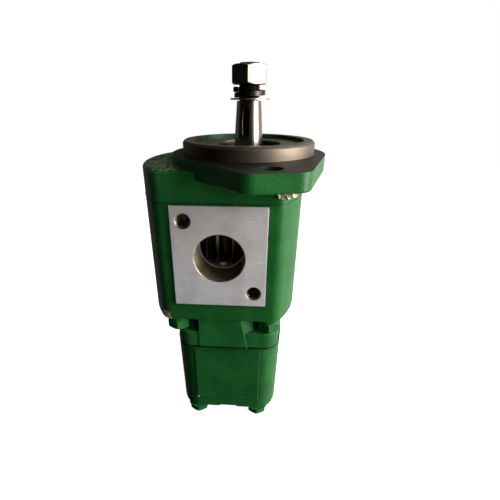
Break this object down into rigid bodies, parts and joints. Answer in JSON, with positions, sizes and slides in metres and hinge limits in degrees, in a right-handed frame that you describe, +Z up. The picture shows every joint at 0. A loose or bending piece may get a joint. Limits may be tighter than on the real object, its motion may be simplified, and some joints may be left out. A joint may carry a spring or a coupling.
{
  "type": "tandem hydraulic gear pump",
  "caption": "Two-stage external gear pump with a two-bolt pilot flange, tapered keyed shaft end, square-flanged suction port and two outlets.",
  "frame": {"origin": "on the shaft axis, in the mounting face of the flange", "axes": "+Z up the shaft towards its nut, suction port facing -Y, driven gears on the -X side"},
  "size_m": [0.1415, 0.1772, 0.3026],
  "materials": {
    "painted_casting": "gloss green enamel over cast iron; machined faces bare",
    "painted_bolt": "green enamel over steel",
    "ground_shaft": "ground",
    "gear_steel": "ground",
    "bright_nut": "bright zinc",
    "spring_steel": "black oxide",
    "zinc_washer": "zinc plated",
    "seal_rubber": "matt",
    "bearing_alloy": "machined",
    "bush_bronze": "sintered"
  },
  "bodies": {
    "housing": {"front_cover": "painted_casting", "front_body": "painted_casting", "rear_body": "painted_casting", "shaft_seal": "seal_rubber", "seal_garter_spring": "spring_steel", "seal_circlip": "spring_steel", "cover_joint_seal": "seal_rubber", "rear_joint_seal": "seal_rubber", "cover_dowels": "gear_steel", "rear_dowels": "gear_steel", "front_body_studs": "painted_bolt", "front_stud_nuts": "painted_bolt", "front_stud_washers": "painted_bolt", "rear_body_bolts": "painted_bolt", "rear_bolt_washers": "painted_bolt", "front_upper_bearing_block": "bearing_alloy", "front_upper_pressure_seal": "seal_rubber", "front_upper_drive_bush": "bush_bronze", "front_upper_driven_bush": "bush_bronze", "front_lower_bearing_block": "bearing_alloy", "front_lower_pressure_seal": "seal_rubber", "front_lower_drive_bush": "bush_bronze", "front_lower_driven_bush": "bush_bronze", "rear_upper_bearing_block": "bearing_alloy", "rear_upper_pressure_seal": "seal_rubber", "rear_upper_drive_bush": "bush_bronze", "rear_upper_driven_bush": "bush_bronze", "rear_lower_bearing_block": "bearing_alloy", "rear_lower_pressure_seal": "seal_rubber", "rear_lower_drive_bush": "bush_bronze", "rear_lower_driven_bush": "bush_bronze"},
    "drive_line": {"drive_gear_shaft": "ground_shaft", "spline_coupling": "gear_steel", "rear_drive_gear_shaft": "gear_steel", "shaft_nut": "bright_nut", "spring_washer": "spring_steel", "flat_washer": "zinc_washer"},
    "front_driven_gear": {"driven_gear_shaft": "gear_steel"},
    "rear_driven_gear": {"rear_driven_gear_shaft": "gear_steel"}
  },
  "joints": [
    {"name": "drive_spin", "type": "hinge", "parent": "housing", "child": "drive_line", "pos_m": [0, 0, 0], "axis": [0, 0, 1], "continuous": true},
    {"name": "front_driven_spin", "type": "hinge", "parent": "housing", "child": "front_driven_gear", "pos_m": [-0.0381, 0, 0], "axis": [0, 0, 1], "continuous": true},
    {"name": "rear_driven_spin", "type": "hinge", "parent": "housing", "child": "rear_driven_gear", "pos_m": [-0.03, 0, 0], "axis": [0, 0, 1], "continuous": true}
  ],
  "couplings": [
    {"joint": "front_driven_spin", "follows": "drive_spin", "ratio": -1},
    {"joint": "rear_driven_spin", "follows": "drive_spin", "ratio": -1}
  ]
}
